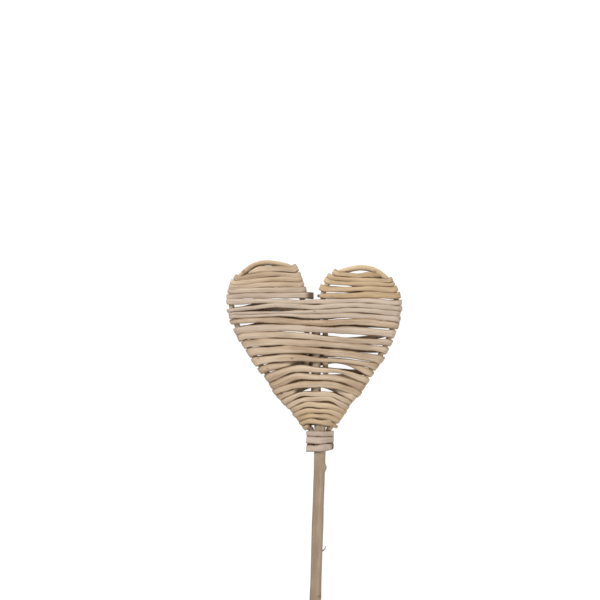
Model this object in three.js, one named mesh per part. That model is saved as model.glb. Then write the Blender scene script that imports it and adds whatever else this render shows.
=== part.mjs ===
// A heart woven from split vine on a long stick, lying on its back.
// Millimetres. The lobes point along +Y, the front faces +Z, and the back lies on z = 0.
// While it is built, y = 0 is the top of the neck binding and x = 0 runs up the middle of the heart.
import * as THREE from "three";

// The whole piece, and the heart above its neck
const TOTAL_LENGTH = 400;
const HEART_WIDTH = 100;
const HEART_HEIGHT = 97.4;
const GAP = 0.3; // air between pieces that touch in the real heart

// Stick: thinner towards its top, which hides behind the first row
const STICK_TOP_RADIUS = 2.45;
const STICK_RADIUS = 3.2; // at the neck and below it
const STICK_NECK_X = 2.3;
const STICK_LEAN = 0.031; // sideways drift of the free stick, per millimetre
const STICK_BEND = 24; // above the neck the stick comes back to the middle over this height
const STICK_TAPER = 40;
const STICK_OVERHANG = 0.8; // the stick's top stands this far above the middle of the first row

// Frame rods
const ROD_RADIUS = 1.5;
const ROD_STEPS = 40;
const ROD_TAIL = 11; // how far each rod runs down inside the binding
const LEG_CLEARANCE = 1.4; // air between the stick and the rods' inner legs

// Split strips
const STRIP_WIDTH = 3.5;
const STRIP_THICKNESS = 1.3;
const ROW_CLEARANCE = 0.35; // air between one row and the next
const ROW_CURVE = 2.2; // how late a row bends down towards the rods
const DOME_CURVE = 1.6; // how late it sinks from the stick towards the rods
const LOBE_BOW = 0.4; // how far the lobes' rows rise between their rods
const SLANT_START = 0.55; // from here out to the rod, as a share of the way, a row turns to lie along the rod
const TUCK_START = 0.5; // from here out a tucked end sinks to the rod's level
const TAPER_LENGTH = 7; // a strip's cut end narrows over this length

// Neck binding: height and width of the strip each time it passes the left side and the right side
const BINDING_SIDES = [[-2.1, 2.6], [-2.1, 2.6], [-5.7, 3.7], [-5.1, 2.4], [-10.7, 4.1], [-8.9, 4.3]];
const BINDING_START = 230; // degrees, counted from the right side over the front
const BINDING_END = -705;

// Levels above the floor: back rows, rods, then front rows
const BACK_LEVEL = STRIP_THICKNESS / 2;
const ROD_LEVEL = STRIP_THICKNESS + GAP + ROD_RADIUS;
const WRAP_RADIUS = ROD_RADIUS + GAP + STRIP_THICKNESS / 2;
const FRONT_LEVEL = ROD_LEVEL + WRAP_RADIUS;
const STICK_REST = STRIP_THICKNESS + GAP; // underside of the stick inside the heart
// A row that passes under the stick stays low this far out
const UNDER_HALF = STICK_RADIUS + LEG_CLEARANCE + 2 * ROD_RADIUS;

// Rod outlines in hundredths of the heart's width (x) and height (y), from the neck up and over the lobe
const LEFT_ROD_OUTLINE = [
  [-4.6, 1.8], [-13.1, 13.8], [-20.3, 21.2], [-24.6, 29], [-32.9, 39.6], [-40.8, 52.8],
  [-46.5, 65], [-48.5, 76.3], [-46.5, 85.7], [-40.9, 92.6], [-36, 96.3], [-29.1, 98.1],
  [-21.7, 97.4], [-15.7, 95.7], [-12.6, 93], [-10.9, 88.5], [-9, 83.9], [-8.3, 78.6],
];
const RIGHT_ROD_OUTLINE = [
  [9.7, 3.2], [16.7, 15], [23.3, 23], [32.1, 36.5], [38.8, 47.2], [43.1, 57.5],
  [45.8, 68.6], [46.1, 76.3], [43.3, 83.9], [38.9, 90.1], [32.9, 94], [25.7, 95.2],
  [17.4, 93.7], [11.7, 91.4], [8.1, 87.7], [5.1, 83.3], [4, 78],
];
// The inner legs run beside the stick past these hundredths of the height, and their cut ends are at the last
const LEG_SHARES = [69, 53, 38, 27.5];

// Rows in hundredths of the heart's height: where a row crosses the rod it starts from, the middle, and
// the rod it ends on. A row marked under passes behind the stick, one marked tucked starts beside a rod, and
// one marked short ends before it reaches the stick.
const BODY_ROWS = [
  [75.4, 75.4, 74.6], [70.3, 72.2, 71.4], [68.3, 69.3, 68.6], [66.4, 66.5, 65.2], [64, 62.8, 61.6],
  [58.6, 58.8, 57], [54.9, 54.6, 52], [50.7, 50.6, 47.2], [45.7, 46.6, 42], [40.6, 41.8, 37],
  [35.4, 38.5, 32.8, "under"], [31, 35.3, 29], [26.6, 30.9, 25.5], [23.1, 26.9, 22.2],
  [20.2, 23.7, 19.3, "under"], [17.5, 21.1, 16.6], [14.9, 18.1, 14], [12.3, 14.7, 11.3],
  [9.6, 11.4, 8.6], [7, 8.3, 5.9], [4.7, 4.6, 3], [2.3, 2.2, -0.5, "short"],
];
const ABOVE_LOBES = [98, 98, 98]; // the rows' room ends here, under the bent rods
const BELOW_BODY = [-0.6, -0.8, -3.5]; // and here, at the neck binding
const BODY_TAIL_START = 8; // the first end runs this far behind the rods
const BODY_END_SHARE = 2.2; // the last row's cut end, in hundredths of the height
const BODY_END_CLEARANCE = 2; // and how far beside the stick it stops
const LEFT_LOBE_ROWS = [
  [92.4, 94.5, 93.6, "tucked"], [88.6, 91.3, 90.6], [85.9, 88.3, 88], [83.6, 85.5, 85.1], [81.1, 82, 82.1],
  [78, 78.7, 78.9],
];
const LEFT_LOBE_START = [-36, 92.4]; // this end is tucked in beside the rod
const LEFT_LOBE_END = [-1.4, 78.9]; // and this one sticks out into the notch
const RIGHT_LOBE_ROWS = [
  [89.8, 90.2, 91.5, "tucked"], [87.1, 88.1, 89], [85.1, 85.8, 86.8], [82.2, 82.8, 82.8], [78.6, 78.9, 78.6],
];
const RIGHT_LOBE_START = [33.5, 89.8];
const RIGHT_LOBE_END = [0.9, 78.6];

// Facets
const ROD_SIDES = 8;
const STICK_SIDES = 12;
const BEND_STEPS = 4; // rings along the stick's bend, and again along its free length
const FRONT_STEPS = 7;
const WRAP_STEPS = 4;
const BACK_STEPS = 5;
const BINDING_STEPS = 16;
// A strip's section in half widths and half thicknesses: flat inside, domed outside
const STRIP_SECTION = [[-1, -1], [1, -1], [1, 0.1], [0.55, 1], [-0.55, 1], [-1, 0.1]];

const END_SHARE = 0.55; // how wide a strip's cut end still is
const MAX_SLANT = 1.1;
const CREST_SAMPLES = 400;
const BISECTIONS = 30;
const ACROSS = HEART_WIDTH / 100; // one hundredth of the width, and of the height
const UP = HEART_HEIGHT / 100;

// Colours, and the roughness of whole vine and of split vine
const STICK_COLOR = 0xa99579;
const ROD_COLOR = 0xc3ad8c;
const LEFT_LOBE_COLOR = 0xd2b99c;
const RIGHT_LOBE_COLOR = 0xcfb18c;
const BODY_COLOR = 0xcdb596;
const BINDING_COLOR = 0xc9b09c;
const WHOLE_ROUGHNESS = 0.7;
const SPLIT_ROUGHNESS = 0.75;

const { lerp, clamp, smoothstep } = THREE.MathUtils;

function spaced(from, to, steps) {
  return Array.from({ length: steps + 1 }, (_, step) => lerp(from, to, step / steps));
}

// A closed solid through rings of points, with flat ends
function loft(rings) {
  const sides = rings[0].length;
  const index = [];
  for (let start = 0; start < (rings.length - 1) * sides; start += sides) {
    for (let side = 0; side < sides; side += 1) {
      const here = start + side;
      const next = start + ((side + 1) % sides);
      index.push(here, next, next + sides, here, next + sides, here + sides);
    }
  }
  const last = (rings.length - 1) * sides;
  for (let side = 1; side < sides - 1; side += 1) {
    index.push(0, side + 1, side, last, last + side, last + side + 1);
  }
  const positions = rings.flat().flatMap((point) => point.toArray());
  const geometry = new THREE.BufferGeometry();
  geometry.setAttribute("position", new THREE.Float32BufferAttribute(positions, 3));
  geometry.setIndex(index);
  geometry.computeVertexNormals();
  return geometry;
}

// The stick's middle line, its radius and its height above the floor
function stickX(y) {
  if (y > 0) return STICK_NECK_X * (1 - smoothstep(y, 0, STICK_BEND));
  return STICK_NECK_X + STICK_LEAN * Math.min(y + ROD_TAIL, 0);
}

function stickRadius(y) {
  return lerp(STICK_RADIUS, STICK_TOP_RADIUS, clamp(y / STICK_TAPER, 0, 1));
}

function stickLevel(y) {
  const free = clamp((y + ROD_TAIL) / (STICK_END_Y + ROD_TAIL), 0, 1);
  return lerp(STICK_REST, 0, free) + stickRadius(y);
}

// A rod's middle line: beside the stick at the neck, round its lobe and down the inner leg
function rodCurve(outline, side) {
  const neckX = STICK_NECK_X + side * (STICK_RADIUS + GAP + ROD_RADIUS);
  const neck = spaced(-ROD_TAIL, 0, 2).map((y) => [neckX, y]);
  const lobe = outline.map(([x, y]) => [x * ACROSS, y * UP]);
  const leg = LEG_SHARES.map((share) => {
    const y = share * UP;
    return [stickX(y) + side * (stickRadius(y) + LEG_CLEARANCE + ROD_RADIUS), y];
  });
  const points = [...neck, ...lobe, ...leg].map(([x, y]) => new THREE.Vector3(x, y, ROD_LEVEL));
  return new THREE.CatmullRomCurve3(points, false, "centripetal");
}

// A rod with the curve parameter of its highest place
function bentRod(outline, side) {
  const curve = rodCurve(outline, side);
  const heights = curve.getPoints(CREST_SAMPLES).map((point) => point.y);
  const top = Math.max(...heights);
  return { curve, top, crest: heights.indexOf(top) / CREST_SAMPLES };
}

const leftRod = bentRod(LEFT_ROD_OUTLINE, -1);
const rightRod = bentRod(RIGHT_ROD_OUTLINE, 1);
const STICK_END_Y = leftRod.top + ROD_RADIUS - TOTAL_LENGTH;

// Where a rod passes a height, on its outer side or on its inner leg, and how far it slants there
function crossing({ rod, inner }, y) {
  let below = inner ? 1 : 0;
  let above = rod.crest;
  for (let step = 0; step < BISECTIONS; step += 1) {
    const middle = (below + above) / 2;
    if (rod.curve.getPoint(middle).y < y) below = middle;
    else above = middle;
  }
  const tangent = rod.curve.getTangent(below);
  return { point: rod.curve.getPoint(below), slant: clamp(tangent.x / tangent.y, -MAX_SLANT, MAX_SLANT) };
}

// Half the width that each row has room for at one of its three places, beside its neighbours there
function halfWidths(heights, above, below) {
  const stack = [above, ...heights, below];
  return heights.map((height, i) => {
    const room = Math.min(stack[i] - height, height - stack[i + 2]);
    return Math.min(STRIP_WIDTH, room - ROW_CLEARANCE) / 2;
  });
}

// One way across, from one crossing over the middle to the other
function pass(from, middle, to, halves, steps, levelAt) {
  const samples = [];
  for (let step = 0; step <= steps; step += 1) {
    const x = lerp(from.point.x, to.point.x, step / steps);
    const first = (x - middle.x) * (from.point.x - middle.x) > 0;
    const end = first ? from : to;
    const reach = Math.abs(end.point.x - middle.x);
    const away = Math.abs(x - middle.x);
    const share = away / reach;
    const y = lerp(middle.y, end.point.y, share ** ROW_CURVE);
    samples.push({
      point: new THREE.Vector3(x, y, levelAt(away, reach, first)),
      half: lerp(halves[1], first ? halves[0] : halves[2], share),
      slant: end.slant * smoothstep(share, SLANT_START, 1),
    });
  }
  return samples;
}

// The height of a front row above the floor: over the stick, under it, or from an end tucked in beside a rod
function frontLevel(mark, middleLevel) {
  const over = (away, reach) => lerp(middleLevel, FRONT_LEVEL, (away / reach) ** DOME_CURVE);
  const under = (away, reach) => {
    return lerp(BACK_LEVEL, FRONT_LEVEL, clamp((away - UNDER_HALF) / (reach - UNDER_HALF), 0, 1));
  };
  const tucked = (away, reach, first) => {
    return lerp(over(away, reach), ROD_LEVEL, first ? smoothstep(away / reach, TUCK_START, 1) : 0);
  };
  const short = () => FRONT_LEVEL;
  return { under, tucked, short }[mark] ?? over;
}

// Where the strip passes behind, between one row and the next: half way, or hidden behind the neighbour of a
// row that passes under the stick
function behindShare(mark, nextMark) {
  if (mark === "under") return 1;
  return nextMark === "under" ? 0 : 0.5;
}

// Half a turn round a rod, from the front to the back (turn +1) or from the back to the front (turn -1)
function wrap(at, half, outward, turn) {
  const normal = new THREE.Vector3(1, -at.slant, 0).setLength(outward * WRAP_RADIUS);
  const samples = [];
  for (let step = 1; step < WRAP_STEPS; step += 1) {
    const angle = turn * (Math.PI / 2 - (Math.PI * step) / WRAP_STEPS);
    const point = at.point.clone().addScaledVector(normal, Math.cos(angle));
    point.z += WRAP_RADIUS * Math.sin(angle);
    samples.push({ point, half, slant: at.slant });
  }
  return samples;
}

// A strip's solid along its samples. dir is +1 when its front rows run to the right.
function stripGeometry(samples, dir) {
  const lengths = [0];
  for (let i = 1; i < samples.length; i += 1) {
    lengths.push(lengths[i - 1] + samples[i].point.distanceTo(samples[i - 1].point));
  }
  const rings = samples.map(({ point, half, slant }, i) => {
    const before = samples[Math.max(i - 1, 0)].point;
    const after = samples[Math.min(i + 1, samples.length - 1)].point;
    const toEnd = Math.min(lengths[i], lengths.at(-1) - lengths[i]);
    const taper = lerp(END_SHARE, 1, Math.min(toEnd / TAPER_LENGTH, 1));
    const across = new THREE.Vector3(slant, 1, 0).multiplyScalar(dir * half * taper);
    const out = after.clone().sub(before).cross(across).setLength(STRIP_THICKNESS / 2);
    return STRIP_SECTION.map(([u, v]) => point.clone().addScaledVector(across, u).addScaledVector(out, v));
  });
  return loft(rings);
}

// The end of a row that stops away from a rod
function freeEnd(x, y) {
  return { point: new THREE.Vector3(x, y, ROD_LEVEL), slant: 0 };
}

// A strip wound round two rods: a front row to the far rod, round it, back behind, round the near rod
function weave({ rows, above, below, near, far, first, last, start = () => [], middleX, middleLevel }) {
  const columns = [0, 1, 2].map((column) => rows.map((row) => row[column] * UP));
  const halves = columns.map((heights, column) => {
    return halfWidths(heights, above[column] * UP, below[column] * UP);
  });
  const ends = rows.map((_, i) => [crossing(near, columns[0][i]), crossing(far, columns[2][i])]);
  if (first) ends[0][0] = first;
  ends.at(-1)[1] = last;
  const dir = Math.sign(ends[0][1].point.x - ends[0][0].point.x);
  const samples = start(ends[0][0], halves[0][0], dir);
  rows.forEach((row, i) => {
    const [from, to] = ends[i];
    const mark = row[3];
    const y = columns[1][i];
    const middle = { x: mark === "short" ? (from.point.x + to.point.x) / 2 : middleX(from, to, y), y };
    const rowHalves = halves.map((column) => column[i]);
    const level = frontLevel(mark, middleLevel(y));
    samples.push(...pass(from, middle, to, rowHalves, FRONT_STEPS, level));
    if (i === rows.length - 1) return;
    const next = ends[i + 1][0];
    const behind = { x: middle.x, y: lerp(y, columns[1][i + 1], behindShare(mark, rows[i + 1][3])) };
    const backHalves = [halves[2][i], Math.min(halves[1][i], halves[1][i + 1]), halves[0][i + 1]];
    samples.push(...wrap(to, halves[2][i], dir, 1));
    samples.push(...pass(to, behind, next, backHalves, BACK_STEPS, () => BACK_LEVEL));
    samples.push(...wrap(next, halves[0][i + 1], -dir, -1));
  });
  return stripGeometry(samples, dir);
}

// The first end of the body's strip lies behind the rods and comes round the near one
function tailBehind(at, half, dir) {
  const run = spaced(1, 0, 2).map((share) => {
    const point = new THREE.Vector3(at.point.x + dir * share * BODY_TAIL_START, at.point.y, BACK_LEVEL);
    return { point, half, slant: at.slant * (1 - share) };
  });
  return [...run, ...wrap(at, half, -dir, -1)];
}

// The place on the outside of the neck's bundle, of the stick between two rods, in one direction
function bundlePoint(angle) {
  const direction = new THREE.Vector2(Math.cos(angle), Math.sin(angle));
  const rodOffset = STICK_RADIUS + GAP + ROD_RADIUS;
  const members = [
    { centre: new THREE.Vector2(0, STICK_REST + STICK_RADIUS), radius: STICK_RADIUS },
    { centre: new THREE.Vector2(-rodOffset, ROD_LEVEL), radius: ROD_RADIUS },
    { centre: new THREE.Vector2(rodOffset, ROD_LEVEL), radius: ROD_RADIUS },
  ];
  const reach = ({ centre, radius }) => centre.dot(direction) + radius;
  const outer = members.reduce((best, member) => (reach(member) > reach(best) ? member : best));
  return outer.centre.clone().addScaledVector(direction, outer.radius + GAP + STRIP_THICKNESS / 2);
}

function bindingGeometry() {
  const steps = Math.round(((BINDING_START - BINDING_END) / 360) * BINDING_STEPS);
  const samples = [];
  for (let step = 0; step <= steps; step += 1) {
    const degrees = lerp(BINDING_START, BINDING_END, step / steps);
    const place = bundlePoint(THREE.MathUtils.degToRad(degrees));
    const halfTurns = clamp((180 - degrees) / 180, 0, BINDING_SIDES.length - 1);
    const before = Math.min(Math.floor(halfTurns), BINDING_SIDES.length - 2);
    const share = smoothstep(halfTurns - before, 0, 1);
    const [y, width] = [0, 1].map((k) => lerp(BINDING_SIDES[before][k], BINDING_SIDES[before + 1][k], share));
    samples.push({ point: new THREE.Vector3(STICK_NECK_X + place.x, y, place.y), half: width / 2, slant: 0 });
  }
  return stripGeometry(samples, 1);
}

function stickGeometry() {
  const top = BODY_ROWS[0][1] * UP + STICK_OVERHANG;
  const bend = spaced(STICK_BEND, 0, BEND_STEPS);
  const free = spaced(-ROD_TAIL, STICK_END_Y, BEND_STEPS);
  const heights = [top, STICK_TAPER, ...bend, ...free].sort((a, b) => b - a);
  const rings = heights.map((y) => {
    const centre = new THREE.Vector3(stickX(y), y, stickLevel(y));
    return Array.from({ length: STICK_SIDES }, (_, side) => {
      const angle = (2 * Math.PI * (side + 0.5)) / STICK_SIDES;
      const direction = new THREE.Vector3(Math.cos(angle), 0, Math.sin(angle));
      return centre.clone().addScaledVector(direction, stickRadius(y));
    });
  });
  return loft(rings);
}

function rodGeometry({ curve }) {
  const round = new THREE.Shape();
  round.absarc(0, 0, ROD_RADIUS, 0, 2 * Math.PI);
  const options = { steps: ROD_STEPS, curveSegments: ROD_SIDES / 2, extrudePath: curve, bevelEnabled: false };
  return new THREE.ExtrudeGeometry(round, options);
}

function lobeGeometry({ rod, rows, below, first, last }) {
  return weave({
    rows,
    above: ABOVE_LOBES,
    below,
    near: { rod, inner: false },
    far: { rod, inner: true },
    first: freeEnd(first[0] * ACROSS, first[1] * UP),
    last: freeEnd(last[0] * ACROSS, last[1] * UP),
    middleX: (from, to) => (from.point.x + to.point.x) / 2,
    middleLevel: () => FRONT_LEVEL + LOBE_BOW,
  });
}

function bodyGeometry() {
  return weave({
    rows: BODY_ROWS,
    above: LEFT_LOBE_ROWS.at(-1).toSpliced(2, 1, RIGHT_LOBE_ROWS.at(-1)[0]),
    below: BELOW_BODY,
    near: { rod: leftRod, inner: false },
    far: { rod: rightRod, inner: false },
    last: freeEnd(STICK_NECK_X - STICK_RADIUS - BODY_END_CLEARANCE, BODY_END_SHARE * UP),
    start: tailBehind,
    middleX: (from, to, y) => stickX(y),
    middleLevel: (y) => STICK_REST + 2 * stickRadius(y) + GAP + STRIP_THICKNESS / 2,
  });
}

const heart = new THREE.Group();

function add(name, geometry, color, roughness) {
  const mesh = new THREE.Mesh(geometry, new THREE.MeshStandardMaterial({ color, roughness, metalness: 0 }));
  mesh.name = name;
  heart.add(mesh);
}

const leftLobe = {
  rod: leftRod,
  rows: LEFT_LOBE_ROWS,
  below: BODY_ROWS[0],
  first: LEFT_LOBE_START,
  last: LEFT_LOBE_END,
};
const rightLobe = {
  rod: rightRod,
  rows: RIGHT_LOBE_ROWS,
  below: BODY_ROWS[0].toReversed(),
  first: RIGHT_LOBE_START,
  last: RIGHT_LOBE_END,
};
add("stick", stickGeometry(), STICK_COLOR, WHOLE_ROUGHNESS);
add("left_frame_rod", rodGeometry(leftRod), ROD_COLOR, WHOLE_ROUGHNESS);
add("right_frame_rod", rodGeometry(rightRod), ROD_COLOR, WHOLE_ROUGHNESS);
add("left_lobe_weaver", lobeGeometry(leftLobe), LEFT_LOBE_COLOR, SPLIT_ROUGHNESS);
add("right_lobe_weaver", lobeGeometry(rightLobe), RIGHT_LOBE_COLOR, SPLIT_ROUGHNESS);
add("body_weaver", bodyGeometry(), BODY_COLOR, SPLIT_ROUGHNESS);
add("neck_binding", bindingGeometry(), BINDING_COLOR, SPLIT_ROUGHNESS);

// The origin goes to the middle of the underside
const box = new THREE.Box3().setFromObject(heart, true);
const centre = box.getCenter(new THREE.Vector3());
heart.position.set(-centre.x, -centre.y, -box.min.z);

export default heart;
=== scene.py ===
# %% [markdown]
# # A heart woven from split vine, on its stick
# The heart is a frame of two thin rods, bent into a lobe each. Long strips of split vine are wound round
# them, and a last strip ties rods and stick together at the neck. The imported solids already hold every
# piece at its real size. Here each one gets the look of peeled vine: rows that wander, fibres, knots and
# uneven colour.

# %% Load the solids
import math

import bpy
import numpy as np
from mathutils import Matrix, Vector


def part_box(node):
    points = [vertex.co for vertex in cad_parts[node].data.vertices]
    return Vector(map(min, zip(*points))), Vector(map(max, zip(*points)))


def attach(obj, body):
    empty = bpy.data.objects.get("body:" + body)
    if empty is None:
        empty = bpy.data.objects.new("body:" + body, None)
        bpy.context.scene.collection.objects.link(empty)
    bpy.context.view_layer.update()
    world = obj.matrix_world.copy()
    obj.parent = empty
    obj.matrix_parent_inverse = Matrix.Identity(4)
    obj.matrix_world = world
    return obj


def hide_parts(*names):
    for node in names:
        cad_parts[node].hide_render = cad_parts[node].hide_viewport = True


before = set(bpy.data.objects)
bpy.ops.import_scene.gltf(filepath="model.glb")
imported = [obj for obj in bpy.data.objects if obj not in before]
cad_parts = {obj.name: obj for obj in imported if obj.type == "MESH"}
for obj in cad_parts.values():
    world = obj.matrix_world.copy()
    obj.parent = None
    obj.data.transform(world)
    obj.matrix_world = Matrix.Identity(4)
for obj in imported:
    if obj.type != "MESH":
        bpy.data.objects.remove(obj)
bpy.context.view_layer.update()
print("nodes", sorted(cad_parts))

# %% [markdown]
# ## Where things are
# A maker measures a heart from its neck, where the stick goes in, so every place below is in millimetres
# from there: x to the right of the heart's middle and y up from the top of the binding. The stick's top
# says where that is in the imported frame. Rows and outlines are hundredths of the heart's width and
# height.

# %% Millimetres from the neck
MM = 0.001
HEART_WIDTH = 100.0
HEART_HEIGHT = 97.4
ACROSS = HEART_WIDTH / 100
UP = HEART_HEIGHT / 100
GAP = 0.3  # air between pieces that touch

STICK_TOP = 75.4 * UP + 0.8
stick_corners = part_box("stick")
stick_points = np.array([vertex.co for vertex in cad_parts["stick"].data.vertices])
top_ring = stick_points[stick_points[:, 1] > stick_corners[1].y - 0.1 * MM]
NECK = np.array([top_ring[:, 0].mean(), stick_corners[1].y - STICK_TOP * MM, stick_corners[0].z])


def in_frame(points):
    """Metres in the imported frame, from millimetres from the neck."""
    return np.asarray(points) * MM + NECK


print("neck in the frame, mm", (NECK / MM).round(2))

# %% [markdown]
# ## Camera
# The photograph is taken square on to the upright heart. This heart lies down, so the camera looks
# straight down on it, with the lobes at the top of the picture. One pixel is the same size on the heart
# as in the photograph: the heart is 175 pixels wide there and 100 mm wide here.

# %% Look straight down at the photograph's scale
IMAGE_PIXELS = 600
MM_PER_PIXEL = 0.5714
HEART_MIDDLE_PIXEL = 316  # the column of pixels that runs up the middle of the heart
NECK_PIXEL = 430  # the row of pixels at the top of the binding
CAMERA_HEIGHT = 1200.0
HEART_LEVEL = 6.0  # the height of the woven face above the floor
SENSOR = 36.0
FAR_CLIP = 20.0  # metres

middle_pixel = IMAGE_PIXELS / 2
camera = bpy.data.objects.new("camera", bpy.data.cameras.new("camera"))
bpy.context.scene.collection.objects.link(camera)
camera.location = in_frame([
    (middle_pixel - HEART_MIDDLE_PIXEL) * MM_PER_PIXEL,
    (NECK_PIXEL - middle_pixel) * MM_PER_PIXEL,
    CAMERA_HEIGHT + HEART_LEVEL,
])
camera.data.sensor_width = SENSOR
camera.data.lens = SENSOR * CAMERA_HEIGHT / (IMAGE_PIXELS * MM_PER_PIXEL)
camera.data.clip_end = FAR_CLIP
bpy.context.scene.camera = camera
print("lens", round(camera.data.lens, 1), "mm at", tuple(round(v, 4) for v in camera.location))

# %% [markdown]
# ## Light
# The heart was photographed on white, with soft light from the upper left and no hard shadow. A sun lamp
# would draw hard edges, so two broad round lamps are used. One at the upper left gives the rows their lit
# upper edges, and a wider one across from it softens the shade between them.

# %% Two broad lamps
LAMP_TARGET = (0, 20, 0)
LAMPS = [  # name, place and width in millimetres, and watts
    ("window", (-520, 900, 700), 330, 17.5),
    ("fill", (700, -500, 1000), 900, 10.5),
]


def lamp(name, place, width, watts):
    """A round lamp that shines on the middle of the heart."""
    data = bpy.data.lights.new(name, "AREA")
    data.shape = "DISK"
    data.size = width * MM
    data.energy = watts
    lamp_object = bpy.data.objects.new(name, data)
    bpy.context.scene.collection.objects.link(lamp_object)
    lamp_object.location = in_frame(place)
    direction = Vector(in_frame(LAMP_TARGET)) - lamp_object.location
    lamp_object.rotation_euler = direction.to_track_quat("-Z", "Y").to_euler()


for name, place, width, watts in LAMPS:
    lamp(name, place, width, watts)
    print("lamp", name, width, "mm wide,", watts, "watts")

# %% [markdown]
# An even sky fills what the lamps leave dark. A camera that looks past the edge of the floor would see
# that sky as grey, so a Light Path node shows plain white to the camera and keeps the sky for everything
# that it lights.

# %% Sky
SKY_STRENGTH = 0.39
SKY_COLOUR = (1.0, 0.985, 0.96, 1)
WHITE = (1, 1, 1, 1)

world = bpy.data.worlds.new("studio")
world.use_nodes = True
sky_nodes = world.node_tree.nodes
sky_links = world.node_tree.links
sky = sky_nodes["Background"]
sky.inputs["Color"].default_value = SKY_COLOUR
sky.inputs["Strength"].default_value = SKY_STRENGTH
paper = sky_nodes.new("ShaderNodeBackground")
paper.inputs["Color"].default_value = WHITE
seen = sky_nodes.new("ShaderNodeLightPath")
either = sky_nodes.new("ShaderNodeMixShader")
sky_links.new(seen.outputs["Is Camera Ray"], either.inputs[0])
sky_links.new(sky.outputs[0], either.inputs[1])
sky_links.new(paper.outputs[0], either.inputs[2])
sky_links.new(either.outputs[0], sky_nodes["World Output"].inputs["Surface"])
bpy.context.scene.world = world
bpy.context.scene.view_settings.view_transform = "Standard"
print("sky strength", SKY_STRENGTH)

# %% [markdown]
# ## Floor
# The slits between the rows are as white as the paper round the heart, with no shadow in them. A light
# table looks like that, so the floor is one. By itself it is dark, and lamps and shadows hardly show on
# it, while its own even glow makes it white.

# %% A light table
FLOOR_TONE = (0.1, 0.1, 0.098, 1)
FLOOR_GLOW = 0.97
FLOOR_ROUGHNESS = 0.9
FLOOR_SIZE = 6000.0

half_floor = FLOOR_SIZE / 2
floor_mesh = bpy.data.meshes.new("floor")
corners = [(x * half_floor, y * half_floor, 0) for x, y in ((-1, -1), (1, -1), (1, 1), (-1, 1))]
floor_mesh.from_pydata([tuple(corner) for corner in in_frame(corners)], [], [(0, 1, 2, 3)])
floor = bpy.data.objects.new("floor", floor_mesh)
bpy.context.scene.collection.objects.link(floor)
floor_finish = bpy.data.materials.new("White floor")
floor_finish.use_nodes = True
floor_shader = floor_finish.node_tree.nodes["Principled BSDF"]
floor_shader.inputs["Base Color"].default_value = FLOOR_TONE
floor_shader.inputs["Roughness"].default_value = FLOOR_ROUGHNESS
floor_shader.inputs["Emission Color"].default_value = WHITE
floor_shader.inputs["Emission Strength"].default_value = FLOOR_GLOW
floor_mesh.materials.append(floor_finish)
print("floor at", round(floor_mesh.vertices[0].co.z / MM, 3), "mm")

# %% [markdown]
# ## Shader groups
# Everything here is vine, peeled or split, so all the materials share a few effects. Each vertex carries
# its place in the straightened vine, in millimetres along it, across it and through it. Noise that is
# read there and stretched along the first of these gives fibres that follow every bend, like real ones.

# %% Colours, sockets and groups
def rgb(red, green, blue):
    """A shader colour from an eye's reading of it, 0 to 255."""
    channels = [value / 255 for value in (red, green, blue)]
    linear = [v / 12.92 if v <= 0.04045 else ((v + 0.055) / 1.055) ** 2.4 for v in channels]
    return (*linear, 1.0)


def feed(tree, socket, value):
    """Links the value where it is another node's socket, and otherwise sets it."""
    if isinstance(value, bpy.types.NodeSocket):
        tree.links.new(value, socket)
    else:
        socket.default_value = value


def new_group(name, inputs, outputs):
    """A node group with named sockets, as (name, kind, value) in and (name, kind) out."""
    tree = bpy.data.node_groups.new(name, "ShaderNodeTree")
    for label, kind, value in inputs:
        tree.interface.new_socket(label, in_out="INPUT", socket_type=kind).default_value = value
    for label, kind in outputs:
        tree.interface.new_socket(label, in_out="OUTPUT", socket_type=kind)
    return tree, tree.nodes.new("NodeGroupInput").outputs, tree.nodes.new("NodeGroupOutput").inputs

# %% Sums, ranges and mixes
MIX_COLOURS = (6, 7)  # a Mix node's two colours by number, because its sockets share their names
MIX_RESULT = 2


def math_node(tree, operation, *values):
    """A Math node. Each value is a number or a socket."""
    made = tree.nodes.new("ShaderNodeMath")
    made.operation = operation
    for socket, value in zip(made.inputs, values):
        feed(tree, socket, value)
    return made.outputs[0]


def range_node(tree, value, low, high):
    """A Map Range node that runs smoothly from 0 to 1 as the value goes from low to high."""
    made = tree.nodes.new("ShaderNodeMapRange")
    made.interpolation_type = "SMOOTHSTEP"
    for label, setting in (("Value", value), ("From Min", low), ("From Max", high)):
        feed(tree, made.inputs[label], setting)
    return made.outputs["Result"]


def mix_node(tree, amount, first, second):
    """A colour Mix node."""
    made = tree.nodes.new("ShaderNodeMix")
    made.data_type = "RGBA"
    feed(tree, made.inputs["Factor"], amount)
    for number, colour in zip(MIX_COLOURS, (first, second)):
        feed(tree, made.inputs[number], colour)
    return made.outputs[MIX_RESULT]

# %% Noise in the straightened vine
def in_grains(tree, vine, along, across):
    """The place in the vine, counted in grains of that length and width in millimetres."""
    size = tree.nodes.new("ShaderNodeCombineXYZ")
    for socket, value in zip(size.inputs, (along, across, across)):
        feed(tree, socket, value)
    counted = tree.nodes.new("ShaderNodeVectorMath")
    counted.operation = "DIVIDE"
    feed(tree, counted.inputs[0], vine)
    feed(tree, counted.inputs[1], size.outputs[0])
    return counted.outputs[0]


def stretched_noise(tree, vine, along, across, detail, roughness):
    """Noise whose grains are that long and wide."""
    noise = tree.nodes.new("ShaderNodeTexNoise")
    noise.inputs["Scale"].default_value = 1.0
    noise.inputs["Detail"].default_value = detail
    noise.inputs["Roughness"].default_value = roughness
    feed(tree, noise.inputs["Vector"], in_grains(tree, vine, along, across))
    return noise.outputs["Fac"]

# %% [markdown]
# The fibres of peeled vine are thin lines with broader streaks among them. Noise keeps near 0.5, so a
# narrow range round that is stretched to run from 0 to 1. The relief adds both up for the bump.

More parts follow.
